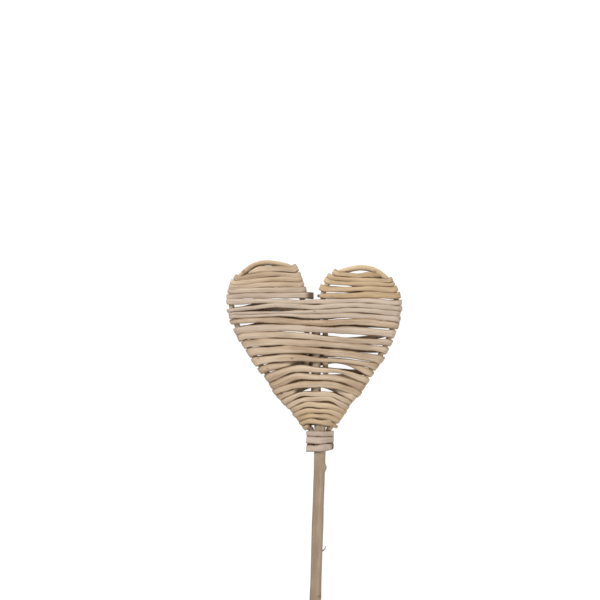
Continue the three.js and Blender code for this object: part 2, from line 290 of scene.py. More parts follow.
# %% Fibres along the vine
STREAK_LENGTH = 2.2  # a streak is so many fibres long
STREAK_WIDTH = 3.0  # and so many wide
FIBRE_RANGE = (0.36, 0.64)
STREAK_RANGE = (0.35, 0.65)
STREAK_RELIEF = 0.5

fibres, given, result = new_group(
    "Vine fibres",
    [("Vine", "NodeSocketVector", (0, 0, 0)), ("Fibre Length", "NodeSocketFloat", 16.0),
     ("Fibre Width", "NodeSocketFloat", 0.4)],
    [("Fibres", "NodeSocketFloat"), ("Streaks", "NodeSocketFloat"), ("Relief", "NodeSocketFloat")],
)
fine = stretched_noise(fibres, given["Vine"], given["Fibre Length"], given["Fibre Width"], 4.0, 0.6)
broad_length = math_node(fibres, "MULTIPLY", given["Fibre Length"], STREAK_LENGTH)
broad_width = math_node(fibres, "MULTIPLY", given["Fibre Width"], STREAK_WIDTH)
broad = stretched_noise(fibres, given["Vine"], broad_length, broad_width, 2.0, 0.5)
fine_lines = range_node(fibres, fine, *FIBRE_RANGE)
streaks = range_node(fibres, broad, *STREAK_RANGE)
feed(fibres, result["Fibres"], fine_lines)
feed(fibres, result["Streaks"], streaks)
feed(fibres, result["Relief"], math_node(fibres, "MULTIPLY_ADD", streaks, STREAK_RELIEF, fine_lines))
print("group", fibres.name)

# %% [markdown]
# Peeled vine is never one colour. Each row has its own shade, because strips from different canes lie
# side by side, and each strip changes slowly along its length. This group mixes a pale, a deep, a greyish
# pink and a yellow vine by two values that the mesh carries, its shade and its tint, and by broad soft
# noise. On the strips the shade also holds painted shade, darker in their creases.

# %% The colour of peeled vine
CLOUD_SIZE = (22.0, 5.0)
CLOUD_RANGE = (0.3, 0.7)
PALEST = 0.13  # how deep the vine is where nothing below adds to it
CLOUD_DEPTH = 0.34
DEPTHS = {"Shade": 0.3, "Streaks": 0.2, "Fibres": 0.12}
DEPTH_RANGE = (-0.05, 1.05)
TINTS = [("Pink", -1.0, 0.65), ("Yellow", 1.0, 0.55)]  # the tint that calls for it, and how much there is

vine_colour, given, result = new_group(
    "Vine colour",
    [("Vine", "NodeSocketVector", (0, 0, 0)),
     ("Shade", "NodeSocketFloat", 0.0), ("Tint", "NodeSocketFloat", 0.0),
     ("Streaks", "NodeSocketFloat", 0.5), ("Fibres", "NodeSocketFloat", 0.5),
     ("Pale", "NodeSocketColor", rgb(197, 178, 154)), ("Deep", "NodeSocketColor", rgb(140, 114, 87)),
     ("Pink", "NodeSocketColor", rgb(178, 163, 149)), ("Yellow", "NodeSocketColor", rgb(184, 157, 119))],
    [("Color", "NodeSocketColor")],
)
clouds = stretched_noise(vine_colour, given["Vine"], *CLOUD_SIZE, 2.0, 0.5)
cloudy = range_node(vine_colour, clouds, *CLOUD_RANGE)
depth = math_node(vine_colour, "MULTIPLY_ADD", cloudy, CLOUD_DEPTH, PALEST)
for label, weight in DEPTHS.items():
    depth = math_node(vine_colour, "MULTIPLY_ADD", given[label], weight, depth)
base = mix_node(vine_colour, range_node(vine_colour, depth, *DEPTH_RANGE), given["Pale"], given["Deep"])
for label, full_tint, most in TINTS:
    tinted = range_node(vine_colour, given["Tint"], 0.0, full_tint)
    base = mix_node(vine_colour, math_node(vine_colour, "MULTIPLY", tinted, most), base, given[label])
feed(vine_colour, result["Color"], base)
print("group", vine_colour.name)

# %% [markdown]
# Small dark flecks are left where buds and leaves grew. Stretched Voronoi cells make them: only a point
# near the middle of a cell is dark, and most cells are left out by their random colour.

# %% Flecks
FLECK_NARROWNESS = 0.35  # how wide a cell is for its length
FLECK_EDGE = (0.17, 0.05)  # distances in a cell where a fleck starts and where it is fully dark

flecks, given, result = new_group(
    "Vine flecks",
    [("Vine", "NodeSocketVector", (0, 0, 0)),
     ("Spacing", "NodeSocketFloat", 9.0), ("Share", "NodeSocketFloat", 0.25)],
    [("Mask", "NodeSocketFloat")],
)
cell_width = math_node(flecks, "MULTIPLY", given["Spacing"], FLECK_NARROWNESS)
cells = flecks.nodes.new("ShaderNodeTexVoronoi")
cells.inputs["Scale"].default_value = 1.0
feed(flecks, cells.inputs["Vector"], in_grains(flecks, given["Vine"], given["Spacing"], cell_width))
spot = range_node(flecks, cells.outputs["Distance"], *FLECK_EDGE)
luck = flecks.nodes.new("ShaderNodeSeparateColor")
feed(flecks, luck.inputs[0], cells.outputs["Color"])
chosen = math_node(flecks, "LESS_THAN", luck.outputs[0], given["Share"])
feed(flecks, result["Mask"], math_node(flecks, "MULTIPLY", spot, chosen))
print("group", flecks.name)

# %% [markdown]
# ## Materials
# Four finishes are made from these groups: the whole stick, the peeled rods, the split strips and the
# binding. Split vine shows its raw inner wood along both edges, which is darker and rougher than its
# peeled face, and every cut end is brown from drying out. The brown along the strips' edges and their
# flat split face is also painted shade, which darkens the lines between the rows.

# %% Reading what the mesh carries
def read_attribute(tree, label):
    """The outputs of an Attribute node that reads one of the mesh's own values."""
    made = tree.nodes.new("ShaderNodeAttribute")
    made.attribute_name = label
    return made.outputs


def place_group(tree, group, **settings):
    """A group in a material with its settings. A socket's name has _ for each space here."""
    made = tree.nodes.new("ShaderNodeGroup")
    made.node_tree = group
    for label, value in settings.items():
        feed(tree, made.inputs[label.replace("_", " ")], value)
    return made.outputs

# %% A finish of vine
CUT_BROWN = rgb(76, 53, 37)
# Brown of raw inner wood, and painted shade, along the strips' edges and flat split face.
EDGE_WOOD_AND_SHADE_BROWN = rgb(116, 88, 61)
FLECK_BROWN = rgb(112, 80, 52)
EDGE_RANGE = (0.58, 0.97)  # how near the strip's edge the brown starts and is full
FLECK_STRENGTH = 0.75
STREAK_ROUGHNESS = 0.16
CUT_ROUGHNESS = 0.15
SHEEN = 0.32
BUMP_STRENGTH = 0.7


def vine_finish(name, colours, fibre, fleck, roughness, edge, relief):
    """A material of vine. colours has Pale, Deep, Pink and Yellow, fibre is the fibres' length and width,
    fleck is the flecks' spacing and share, edge is how far the strip's edges darken with inner wood's
    brown and painted shade, and relief is the bump's height in millimetres."""
    material = bpy.data.materials.new(name)
    material.use_nodes = True
    tree = material.node_tree
    shader = tree.nodes["Principled BSDF"]
    vine = read_attribute(tree, "vine")["Vector"]
    cut = read_attribute(tree, "cut")["Fac"]
    look = tree.nodes.new("ShaderNodeSeparateXYZ")
    feed(tree, look.inputs[0], read_attribute(tree, "look")["Vector"])
    grain = place_group(tree, fibres, Vine=vine, Fibre_Length=fibre[0], Fibre_Width=fibre[1])
    spots = place_group(tree, flecks, Vine=vine, Spacing=fleck[0], Share=fleck[1])["Mask"]
    colour = place_group(
        tree, vine_colour, Vine=vine, Shade=look.outputs["X"], Tint=look.outputs["Y"],
        Streaks=grain["Streaks"], Fibres=grain["Fibres"], **colours,
    )["Color"]
    # Inner wood's brown and painted shade between the rows, at the strips' edges and flat face.
    wood_and_shade_rim = math_node(tree, "MULTIPLY", range_node(tree, look.outputs["Z"], *EDGE_RANGE), edge)
    colour = mix_node(tree, wood_and_shade_rim, colour, EDGE_WOOD_AND_SHADE_BROWN)
    colour = mix_node(tree, math_node(tree, "MULTIPLY", spots, FLECK_STRENGTH), colour, FLECK_BROWN)
    feed(tree, shader.inputs["Base Color"], mix_node(tree, cut, colour, CUT_BROWN))
    smoothest = roughness - STREAK_ROUGHNESS / 2
    rough = math_node(tree, "MULTIPLY_ADD", grain["Streaks"], STREAK_ROUGHNESS, smoothest)
    feed(tree, shader.inputs["Roughness"], math_node(tree, "MULTIPLY_ADD", cut, CUT_ROUGHNESS, rough))
    shader.inputs["Specular IOR Level"].default_value = SHEEN
    bump = tree.nodes.new("ShaderNodeBump")
    bump.inputs["Strength"].default_value = BUMP_STRENGTH
    bump.inputs["Distance"].default_value = relief * MM
    feed(tree, bump.inputs["Height"], math_node(tree, "SUBTRACT", grain["Relief"], spots))
    feed(tree, shader.inputs["Normal"], bump.outputs["Normal"])
    return material

# %% Stick, rods, strips and binding
stick_finish = vine_finish(
    "Peeled stick",
    dict(Pale=rgb(161, 142, 120), Deep=rgb(113, 93, 73), Pink=rgb(139, 122, 107), Yellow=rgb(147, 126, 98)),
    fibre=(26.0, 0.55), fleck=(16.0, 0.12), roughness=0.62, edge=0.0, relief=0.14,
)
rod_finish = vine_finish(
    "Peeled rod",
    dict(Pale=rgb(190, 171, 145), Deep=rgb(138, 114, 86)),
    fibre=(20.0, 0.4), fleck=(13.0, 0.15), roughness=0.6, edge=0.0, relief=0.1,
)
strip_finish = vine_finish(
    "Split vine",
    {},
    fibre=(14.0, 0.34), fleck=(10.0, 0.16), roughness=0.64, edge=0.7, relief=0.12,
)
binding_finish = vine_finish(
    "Split vine at the neck",
    dict(Pale=rgb(184, 167, 149), Deep=rgb(134, 113, 95)),
    fibre=(12.0, 0.34), fleck=(9.0, 0.12), roughness=0.64, edge=0.7, relief=0.12,
)
print("finishes", [m.name for m in (stick_finish, rod_finish, strip_finish, binding_finish)])

# %% [markdown]
# ## Sweeps
# Rods, stick and strips are all one outline carried along a line, which Blender could do with a curve and
# a bevel object. Building the rings in code gives more: the outline can swell, roll and taper on its way,
# and each vertex can carry its place in the straightened vine for the materials.

# %% Smooth chance
WAVES = (1.0, 0.53, 0.29)  # each wave's length and height as a share of the first one's
WAVES_TOGETHER = 1.4  # about how high the three reach where they meet


def wander(places, spacing, amount, chance):
    """A smooth line that drifts by about the amount, with turns about the spacing apart."""
    drift = np.zeros(len(places))
    for finer in WAVES:
        phase = chance.uniform(0, 2 * math.pi)
        drift += finer * np.sin(2 * math.pi * places / (spacing * finer) + phase)
    return amount * drift / WAVES_TOGETHER


def smooth_ramp(value, low, high):
    """0 at low, 1 at high and a soft S between them."""
    share = np.clip((np.asarray(value, float) - low) / (high - low), 0, 1)
    return share * share * (3 - 2 * share)


def distance_along(line):
    """How far along the line each of its points is."""
    steps = np.linalg.norm(np.diff(line, axis=0), axis=1)
    return np.concatenate([[0], np.cumsum(steps)])

# %% [markdown]
# A cut end shows growth rings, so it is closed with a few narrower rings of points that take turns in
# being darker and paler. They stand a hair in front of the last full ring, as a slight chamfer.

# %% Rings of points and their ends
END_RINGS = [0.94, 0.8, 0.6, 0.4, 0.2]  # shares of the radius, from the rim of a cut end inwards
END_SHADES = [0.3, -0.5, 0.5, -0.6, 0.7]
END_CHAMFER = 0.07


def cut_end(ring, next_ring):
    """The rings that close one end, from its rim inwards, and its middle point."""
    centre = ring.mean(0)
    along = centre - next_ring.mean(0)
    ahead = along / np.linalg.norm(along) * END_CHAMFER
    return [centre + (ring - centre) * share + ahead for share in END_RINGS], centre + ahead


def ring_faces(count, sides):
    """Quads between so many rings, and a fan of triangles to the middle point of each end."""
    side = np.arange(sides)
    beside = (side + 1) % sides
    quads = []
    for ring in range(count - 1):
        low = 1 + ring * sides
        quads.append(np.stack([low + side, low + beside, low + sides + beside, low + sides + side], 1))
    top = 1 + count * sides
    fans = [(0, 1 + b, 1 + a) for a, b in zip(side, beside)]
    fans += [(top, top - sides + a, top - sides + b) for a, b in zip(side, beside)]
    return np.concatenate(quads).tolist() + [tuple(map(int, fan)) for fan in fans]

# %% A solid from rings
def ring_solid(name, rings, vine, look, cut, finish, end_brown=1.0):
    """A closed mesh through rings of points, with growth rings on its cut ends. rings and vine are (rings,
    sides, 3) in millimetres, look has a shade, a tint and an edge share for each point, cut is 1 where the
    vine is brown from a cut, and end_brown is its value on the cut ends."""
    count, sides, _ = rings.shape
    caps = len(END_RINGS)
    first_rings, first_middle = cut_end(rings[0], rings[1])
    last_rings, last_middle = cut_end(rings[-1], rings[-2])
    points = np.concatenate([
        [first_middle], *first_rings[::-1], rings.reshape(-1, 3), *last_rings, [last_middle],
    ])

    def with_ends(values):
        """The values of all points, where the cut ends take those of the first and the last ring."""
        flat = values.reshape(count * sides, -1)
        start, end = flat[:sides], flat[-sides:]
        return np.concatenate([start.mean(0)[None], *[start] * caps, flat, *[end] * caps, end.mean(0)[None]])

    look = with_ends(look)
    for cap, shade in enumerate(END_SHADES):
        first = 1 + (caps - 1 - cap) * sides
        last = len(look) - 1 - (caps - cap) * sides
        look[first:first + sides, 0] = shade
        look[last:last + sides, 0] = shade
    cut = with_ends(cut)[:, 0]
    cut[: 1 + caps * sides] = end_brown
    cut[-1 - caps * sides:] = end_brown
    mesh = bpy.data.meshes.new(name)
    mesh.from_pydata(in_frame(points).tolist(), [], ring_faces(count + 2 * caps, sides))
    for label, kind, field, values in (
        ("vine", "FLOAT_VECTOR", "vector", with_ends(vine)),
        ("look", "FLOAT_VECTOR", "vector", look),
        ("cut", "FLOAT", "value", cut),
    ):
        mesh.attributes.new(label, kind, "POINT").data.foreach_set(field, values.astype(np.float32).ravel())
    mesh.shade_smooth()
    mesh.materials.append(finish)
    mesh.update()
    piece = bpy.data.objects.new(name, mesh)
    bpy.context.scene.collection.objects.link(piece)
    return piece

# %% Put a piece in its solid's place
def stands_for(piece, node):
    """The piece rides on the one body and stands for its solid, which is hidden."""
    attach(piece, "root")
    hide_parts(node)
    low, high = (np.array(corner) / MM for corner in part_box(node))
    points = np.array([vertex.co for vertex in piece.data.vertices]) / MM
    print(piece.name, len(piece.data.polygons), "faces, past its solid by",
          np.maximum(low - points.min(0), points.max(0) - high).round(2), "mm")

# %% [markdown]
# ## Rods
# Each lobe is one willow rod, as thick as a knitting needle. It leaves the neck beside the stick, climbs
# round the outside of its lobe and comes down again near the stick, where it ends in a cut inside the
# heart. A curve through a few given places gives its bend.

# %% Sizes of the stick and the rods
STICK_TOP_RADIUS = 2.45
STICK_RADIUS = 3.2
STICK_NECK_X = 2.3
STICK_LEAN = 0.031
STICK_BEND = 24.0
STICK_TAPER = 40.0
ROD_RADIUS = 1.5
ROD_TAIL = 11.0
LEG_CLEARANCE = 1.4
STRIP_THICKNESS = 1.3
ROD_LEVEL = STRIP_THICKNESS + GAP + ROD_RADIUS
STICK_REST = STRIP_THICKNESS + GAP
STICK_END = (stick_corners[0].y - NECK[1]) / MM


def stick_x(y):
    """The place of the stick's middle at that height."""
    y = np.asarray(y, float)
    bent = STICK_NECK_X * (1 - smooth_ramp(y, 0, STICK_BEND))
    return np.where(y > 0, bent, STICK_NECK_X + STICK_LEAN * np.minimum(y + ROD_TAIL, 0))


def stick_radius(y):
    """The stick thins out towards its top."""
    return STICK_RADIUS + (STICK_TOP_RADIUS - STICK_RADIUS) * np.clip(np.asarray(y) / STICK_TAPER, 0, 1)

# %% A curve through chosen places
def bent_line(places, spacing):
    """Points along a smooth curve through the places, which keeps tight where they lie close together."""
    places = np.asarray(places, float)
    ends = np.vstack([2 * places[0] - places[1], places, 2 * places[-1] - places[-2]])
    line = []
    for p0, p1, p2, p3 in zip(ends, ends[1:], ends[2:], ends[3:]):
        t1 = np.linalg.norm(p1 - p0) ** 0.5
        t2 = t1 + np.linalg.norm(p2 - p1) ** 0.5
        t3 = t2 + np.linalg.norm(p3 - p2) ** 0.5
        t = np.linspace(t1, t2, 40, endpoint=False)[:, None]
        a1 = p0 + (p1 - p0) * t / t1
        a2 = p1 + (p2 - p1) * (t - t1) / (t2 - t1)
        a3 = p2 + (p3 - p2) * (t - t2) / (t3 - t2)
        b1 = a1 + (a2 - a1) * t / t2
        b2 = a2 + (a3 - a2) * (t - t1) / (t3 - t1)
        line.append(b1 + (b2 - b1) * (t - t1) / (t2 - t1))
    line = np.vstack([*line, places[-1]])
    along = distance_along(line)
    even = np.linspace(0, along[-1], round(along[-1] / spacing) + 1)
    return np.stack([np.interp(even, along, line[:, axis]) for axis in range(line.shape[1])], 1)

# %% The two bent rods' lines
LEFT_ROD_OUTLINE = [
    (-4.6, 1.8), (-13.1, 13.8), (-20.3, 21.2), (-24.6, 29), (-32.9, 39.6), (-40.8, 52.8),
    (-46.5, 65), (-48.5, 76.3), (-46.5, 85.7), (-40.9, 92.6), (-36, 96.3), (-29.1, 98.1),
    (-21.7, 97.4), (-15.7, 95.7), (-12.6, 93), (-10.9, 88.5), (-9, 83.9), (-8.3, 78.6),
]
RIGHT_ROD_OUTLINE = [
    (9.7, 3.2), (16.7, 15), (23.3, 23), (32.1, 36.5), (38.8, 47.2), (43.1, 57.5),
    (45.8, 68.6), (46.1, 76.3), (43.3, 83.9), (38.9, 90.1), (32.9, 94), (25.7, 95.2),
    (17.4, 93.7), (11.7, 91.4), (8.1, 87.7), (5.1, 83.3), (4, 78),
]
LEG_HEIGHTS = [69, 53, 38, 27.5]  # of the inner legs beside the stick
ROD_SPACING = 0.8


def rod_line(outline, side):
    """The rod's middle line from the binding over the lobe to its cut end. side is -1 on the left."""
    neck_x = STICK_NECK_X + side * (STICK_RADIUS + GAP + ROD_RADIUS)
    places = [(neck_x, y) for y in (-ROD_TAIL, -ROD_TAIL / 2, 0)]
    places += [(x * ACROSS, y * UP) for x, y in outline]
    for height in LEG_HEIGHTS:
        y = height * UP
        places.append((float(stick_x(y) + side * (stick_radius(y) + LEG_CLEARANCE + ROD_RADIUS)), y))
    return bent_line(places, ROD_SPACING)


left_line = rod_line(LEFT_ROD_OUTLINE, -1)
right_line = rod_line(RIGHT_ROD_OUTLINE, 1)
print("rods", round(distance_along(left_line)[-1]), "and", round(distance_along(right_line)[-1]), "mm long")

# %% [markdown]
# A peeled rod isn't turned on a lathe. Its section is a little uneven, long shallow ridges run down it,
# and it swells where a side shoot was cut off. The same function makes the rods and the stick.

# %% Round vine
KNOT_LENGTH = 1.7
KNOT_NARROWNESS = 2.2
KNOT_MARK = 0.6  # how brown a knot is at its middle
OUTLINE_LOBES = (2, 3, 5, 8)  # an uneven section is a few waves round the vine
OUTLINE_DEPTH = 0.017
RIDGE_DRIFT = (60, 0.7)
THICKNESS_DRIFT = (42, 0.02)
ROUND_SHADE_DRIFT = (70, 0.3)
SIDE_SHADE = 0.15
END_STAIN = 0.55
STAIN_LENGTH = 0.8
NOISE_PLACES = 500  # each piece reads the noise at a place of its own, up to so far away


def round_rings(line, levels):
    """Middles of the rings along a line, and the directions beside it and above it."""
    centres = np.column_stack([line, levels])
    ahead = np.gradient(centres, axis=0)
    ahead /= np.linalg.norm(ahead, axis=1)[:, None]
    beside = np.cross(ahead, [0.0, 0.0, 1.0])
    beside /= np.linalg.norm(beside, axis=1)[:, None]
    return centres, beside, np.cross(beside, ahead)


def uneven_section(along, angles, knots, chance):
    """How far the vine swells at each point of its rings, and how brown its knots make it there."""
    swell = 1 + wander(along, *THICKNESS_DRIFT, chance)[:, None] * np.ones(len(angles))
    for lobes in OUTLINE_LOBES:
        turn = chance.uniform(0, 2 * math.pi) + wander(along, *RIDGE_DRIFT, chance)
        swell += OUTLINE_DEPTH / lobes ** 0.4 * np.sin(lobes * angles[None] + turn[:, None])
    mark = np.zeros(swell.shape)
    for place, angle, height in knots:
        near_it = np.exp(-(((along - place) / KNOT_LENGTH) ** 2))
        facing_it = np.exp(-KNOT_NARROWNESS * (1 - np.cos(angles - angle)))
        close = near_it[:, None] * facing_it[None]
        swell += height * close
        mark = np.maximum(mark, smooth_ramp(close, 0.55, 1.0) * KNOT_MARK)
    return swell, mark

# %% A round piece
def round_vine(name, line, radii, levels, sides, finish, tint, knots, seed, end_brown=0.8, browned=0.0):
    """A round piece along a line. knots are (distance along it, angle, how far it swells), end_brown and
    browned are how brown its cut ends and the whole of it are."""
    chance = np.random.default_rng(seed)
    along = distance_along(line)
    angles = 2 * math.pi * np.arange(sides) / sides
    centres, beside, above = round_rings(line, levels)
    swell, mark = uneven_section(along, angles, knots, chance)
    reach = radii[:, None] * swell
    rings = centres[:, None] + reach[..., None] * (
        np.cos(angles)[None, :, None] * beside[:, None] + np.sin(angles)[None, :, None] * above[:, None]
    )
    vine = np.stack([
        np.broadcast_to(along[:, None], reach.shape), reach * np.cos(angles), reach * np.sin(angles),
    ], -1) + chance.uniform(0, NOISE_PLACES, 3)
    shade = wander(along, *ROUND_SHADE_DRIFT, chance)[:, None]
    shade = shade + SIDE_SHADE * np.sin(angles + chance.uniform(0, 6))[None]
    look = np.stack([shade, np.full(reach.shape, tint), np.zeros(reach.shape)], -1)
    from_end = np.minimum(along, along[-1] - along)
    stain = END_STAIN * smooth_ramp(from_end, STAIN_LENGTH, 0.0)[:, None]
    cut = np.maximum(np.maximum(mark, stain), browned)
    return ring_solid(name, rings, vine, look, cut, finish, end_brown)

# %% Bend the two rods
ROD_SIDES = 20
ROD_SWELL = 1.06  # the uneven rods' size over that of the solids
ROD_KNOTS = [(118.0, 2.0, 0.16), (176.0, 0.9, 0.12)]
RODS = [  # name, line, the solid's node, tint and seed
    ("left_bent_rod", left_line, "left_frame_rod", 0.3, 21),
    ("right_bent_rod", right_line, "right_frame_rod", 0.8, 22),
]
for name, line, node, tint, seed in RODS:
    radii = np.full(len(line), ROD_RADIUS * ROD_SWELL)
    levels = np.full(len(line), ROD_LEVEL)
    bent_rod = round_vine(name, line, radii, levels, ROD_SIDES, rod_finish, tint, ROD_KNOTS, seed)
    stands_for(bent_rod, node)

# %% [markdown]
# ## Stick
# The stick is a thicker peeled cane. Its thin end hides behind the top row, it shifts a little to the
# right at the neck, and it leans on its way down to a plain sawn end. One side shoot was cut off just
# under the binding and left a bump there.

# %% Grow the stick
STICK_SIDES = 40
STICK_SPACING = 1.0
STICK_SWELL = 1.025  # the uneven stick's size over that of the solid
ABOVE_FLOOR = 1.02  # its middle's height over its radius, so that no bump goes through the floor
SHOOT_BELOW_NECK = 21.7
MIDDLE_KNOT_BELOW_NECK = 95.0
LOW_KNOT_BELOW_NECK = 172.0

stick_heights = np.linspace(STICK_TOP, STICK_END, round((STICK_TOP - STICK_END) / STICK_SPACING) + 1)
stick_line = np.column_stack([stick_x(stick_heights), stick_heights])
free_share = np.clip((stick_heights + ROD_TAIL) / (STICK_END + ROD_TAIL), 0, 1)
stick_radii = stick_radius(stick_heights) * STICK_SWELL
stick_levels = STICK_REST * (1 - free_share) + stick_radii * ABOVE_FLOOR
stick_knots = [
    (STICK_TOP + SHOOT_BELOW_NECK, math.pi, 0.3),
    (STICK_TOP + LOW_KNOT_BELOW_NECK, 1.2, 0.1),
    (STICK_TOP + MIDDLE_KNOT_BELOW_NECK, 2.4, 0.06),
]
peeled_stick = round_vine(
    "peeled_stick", stick_line, stick_radii, stick_levels, STICK_SIDES,
    stick_finish, -0.2, stick_knots, 11, end_brown=0.25,
)
stands_for(peeled_stick, "stick")

# %% [markdown]
# Peeling left one hair of fibre on the stick, a few centimetres under the binding. It stands off at the
# right, curls up and has gone dark. It is a thin round vine of its own that stays with the stick.

# %% A curled fibre
CURL_PLACES = [(2.9, -69.6), (3.9, -69.2), (4.7, -68.4), (5.3, -67.5), (5.6, -66.5)]
CURL_RADIUS = 0.36
CURL_LEVEL = 4.6
CURL_RISE = 0.5
CURL_SIDES = 8

curl_line = bent_line(CURL_PLACES, 0.2)
curl_radii = np.linspace(CURL_RADIUS, CURL_RADIUS / 2, len(curl_line))
curl_levels = CURL_LEVEL + np.linspace(0, CURL_RISE, len(curl_line))
stick_curl = round_vine(
    "stick_curl", curl_line, curl_radii, curl_levels, CURL_SIDES, stick_finish, -0.5, [], 12, browned=1.0,
)
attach(stick_curl, "root")
print("curl", len(stick_curl.data.polygons), "faces")

# %% [markdown]
# ## Rows
# A strip goes over the front from one rod to the other, round that rod, back behind, and round the first
# one again. Each row is given by its height at five places: the rod it starts from, half way to the
# stick, the stick, half way out again, and the far rod. Weavers never lay two rows alike, so the widths
# are given too.

# %% The body's rows
# Five heights in hundredths of the heart's height, the strip's width in millimetres on the left half, at
# the stick and on the right half, its shade (1 is darkest) and its tint (-1 is pinkish grey, 1 is yellow)
BODY_ROWS = [
    (75.4, 75.6, 75.1, 76.0, 74.6, 2.7, 2.7, 2.7, -0.3, -1.0),
    (70.3, 73.1, 72.2, 73.4, 71.4, 3.1, 3.0, 2.8, -0.2, -1.0),
    (68.3, 68.9, 69.3, 70.3, 68.6, 2.6, 2.5, 3.0, 0.1, -0.9),
    (66.4, 67.4, 66.8, 67.1, 65.2, 3.0, 2.7, 3.1, -0.3, -0.8),
    (64.0, 64.3, 62.7, 63.6, 61.6, 3.9, 3.3, 3.9, 0.3, -0.1),
    (58.6, 60.1, 59.0, 58.3, 56.7, 4.2, 3.5, 4.3, 0.1, -0.7),
    (54.9, 56.0, 54.4, 52.3, 51.7, 3.9, 3.3, 3.4, 0.1, -0.4),
    (50.7, 51.7, 50.6, 49.3, 47.2, 4.1, 3.9, 3.7, 0.0, -0.3),
    (45.7, 47.2, 46.4, 44.4, 41.8, 4.5, 3.8, 4.4, 0.1, -0.2),
    (40.6, 42.4, 41.3, 40.4, 37.8, 4.2, 3.1, 2.3, 0.0, -0.1),
    (35.8, 38.7, 38.5, 39.8, 33.6, 3.6, 2.3, 2.2, 0.4, 0.2),
    (31.0, 35.8, 35.3, 34.4, 29.4, 4.3, 3.2, 2.6, -0.2, -0.1),
    (26.6, 31.3, 30.9, 30.4, 25.6, 4.3, 3.2, 3.7, -0.1, 0.1),
    (23.1, 26.4, 26.9, 25.8, 22.3, 3.9, 3.7, 4.4, -0.1, 0.2),
    (20.2, 23.4, 26.0, 24.0, 19.4, 3.3, 2.0, 3.2, -0.2, 0.1),
    (17.5, 21.0, 21.1, 20.9, 16.7, 2.9, 2.9, 2.8, -0.3, 0.0),
    (14.9, 18.0, 18.1, 18.1, 14.1, 3.0, 2.8, 3.2, -0.1, 0.1),
    (12.3, 14.9, 14.7, 14.2, 11.4, 3.3, 3.2, 3.4, 0.1, 0.5),
    (9.6, 11.4, 11.4, 11.1, 8.7, 3.1, 2.6, 2.9, 0.0, 0.6),
    (7.0, 8.5, 8.3, 8.0, 6.0, 3.0, 2.6, 3.2, 0.2, 0.7),
    (4.7, 5.2, 4.6, 4.3, 3.2, 3.3, 3.8, 3.4, 0.3, 0.8),
    (2.3, 2.3, 2.2, 1.0, -0.5, 2.5, 2.5, 2.5, 0.1, 0.6),
]
UNDER_ROWS = {10, 14}  # these pass behind the stick
BELOW_BODY = -2.0  # hundredths of the height, where the last row's room ends
BODY_TAIL_START = 8.0  # how far behind the heart the strip starts
BODY_END = (STICK_NECK_X - STICK_RADIUS - 2.0, 2.2 * UP)

# %% The lobes' rows
# The same ten numbers, from the outer side of each lobe to its inner side
LEFT_LOBE_ROWS = [
    (92.4, 94.1, 94.5, 94.9, 93.8, 3.3, 3.5, 3.9, -0.1, 0.2),
    (88.6, 90.4, 91.3, 91.3, 90.6, 3.9, 3.1, 2.9, 0.3, 0.0),
    (85.9, 87.2, 88.3, 88.6, 88.0, 3.2, 2.9, 3.0, -0.1, 0.3),
    (83.6, 84.4, 85.5, 85.4, 85.1, 3.0, 2.9, 3.2, -0.1, -0.1),
    (81.1, 81.9, 82.2, 82.2, 82.1, 3.2, 3.4, 3.4, 0.3, -0.6),
    (78.0, 78.9, 78.9, 78.9, 78.9, 3.7, 3.2, 3.7, 0.6, -0.8),
]
LEFT_LOBE_START = (-39.5 * ACROSS, 91.4 * UP)
LEFT_LOBE_END = (-1.4 * ACROSS, 78.9 * UP)
RIGHT_LOBE_ROWS = [
    (90.0, 91.1, 90.5, 91.2, 91.7, 3.0, 2.6, 2.6, 0.5, 0.8),
    (87.1, 88.0, 88.1, 88.5, 89.0, 3.2, 2.6, 2.8, 0.1, 0.8),
    (85.1, 85.7, 85.8, 86.2, 86.8, 2.8, 2.6, 2.6, 0.3, 0.9),
    (82.2, 82.9, 82.8, 82.5, 82.8, 3.3, 3.0, 2.8, 0.3, 0.9),
    (78.6, 79.2, 79.0, 78.7, 78.7, 3.8, 3.7, 3.3, 0.4, 0.8),
]
RIGHT_LOBE_START = (36.8 * ACROSS, 90.0 * UP)
RIGHT_LOBE_END = (0.9 * ACROSS, 78.6 * UP)
ABOVE_LOBES = 98.0  # hundredths of the height, where the top rows' room ends

# %% [markdown]
# Where the photograph shows light through a slit, the strip behind must keep out of the way. So each row
# may say how far down it lies on its way back: 0 keeps it hidden behind its own row, 1 behind the next
# one, and the usual 0.5 closes the slit. The three numbers are for the half it starts on, the middle and
# the other half.

# %% Behind the slits
BODY_BEHIND = {
    0: (0.4, 0.6, 0.25), 3: (0, 0.2, 0.5), 4: (0.4, 0.6, 0.3), 5: (0.95, 1, 0.95), 6: (0.4, 0.6, 0.5),
    7: (0.4, 0.6, 0.5), 8: (0, 0.5, 0.5), 9: (0, 0, 0), 10: (1, 0.8, 0.4), 11: (0.9, 1, 0.7),
    13: (0, 0, 0), 14: (1, 1, 1), 15: (0.5, 1, 0.5), 19: (0.3, 0.5, 0.7),
}
LEFT_LOBE_BEHIND = {2: (0.5, 0.7, 1), 3: (0, 0.3, 0.5)}
RIGHT_LOBE_BEHIND = {2: (0, 0.3, 0.5), 3: (0, 0.3, 0.5)}

# %% Where a row meets a rod
STEEPEST_LEAN = 0.7  # near a lobe's crest a turn leans less than its rod


def crossings(line, inner):
    """For one side of a bent rod, a function from height to the place there and how far a turn leans."""
    crest = int(line[:, 1].argmax())
    part = line[crest:][::-1] if inner else line[: crest + 1]
    rise = np.maximum(np.gradient(part[:, 1]), 1e-6)
    slants = np.clip(np.gradient(part[:, 0]) / rise, -STEEPEST_LEAN, STEEPEST_LEAN)
    return lambda y: (float(np.interp(y, part[:, 1], part[:, 0])), float(np.interp(y, part[:, 1], slants)))


